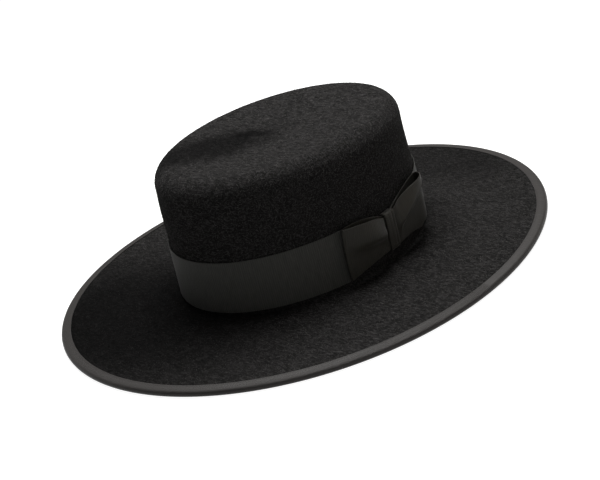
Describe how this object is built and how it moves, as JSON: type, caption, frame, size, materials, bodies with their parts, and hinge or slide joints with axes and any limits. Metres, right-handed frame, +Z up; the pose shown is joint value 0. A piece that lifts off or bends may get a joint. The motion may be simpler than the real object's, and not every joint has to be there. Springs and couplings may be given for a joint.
{
  "type": "gaucho hat",
  "caption": "Black fur felt gaucho hat with a low dished crown, a wide flat bound brim and a grosgrain band tied off with a flat bow.",
  "frame": {"origin": "on the floor, under the middle of the brim", "axes": "+Z up, -Y towards the front of the hat, +X towards the wearer's left"},
  "size_m": [0.3508, 0.3828, 0.1056],
  "materials": {
    "fur_felt": "matte",
    "band_ribbon": "matte",
    "edge_ribbon": "matte"
  },
  "bodies": {
    "root": {"felt_body": "fur_felt", "brim_binding": "edge_ribbon", "hat_band": "band_ribbon", "bow_front_loop": "band_ribbon", "bow_back_loop": "band_ribbon", "bow_knot": "band_ribbon"}
  },
  "joints": []
}
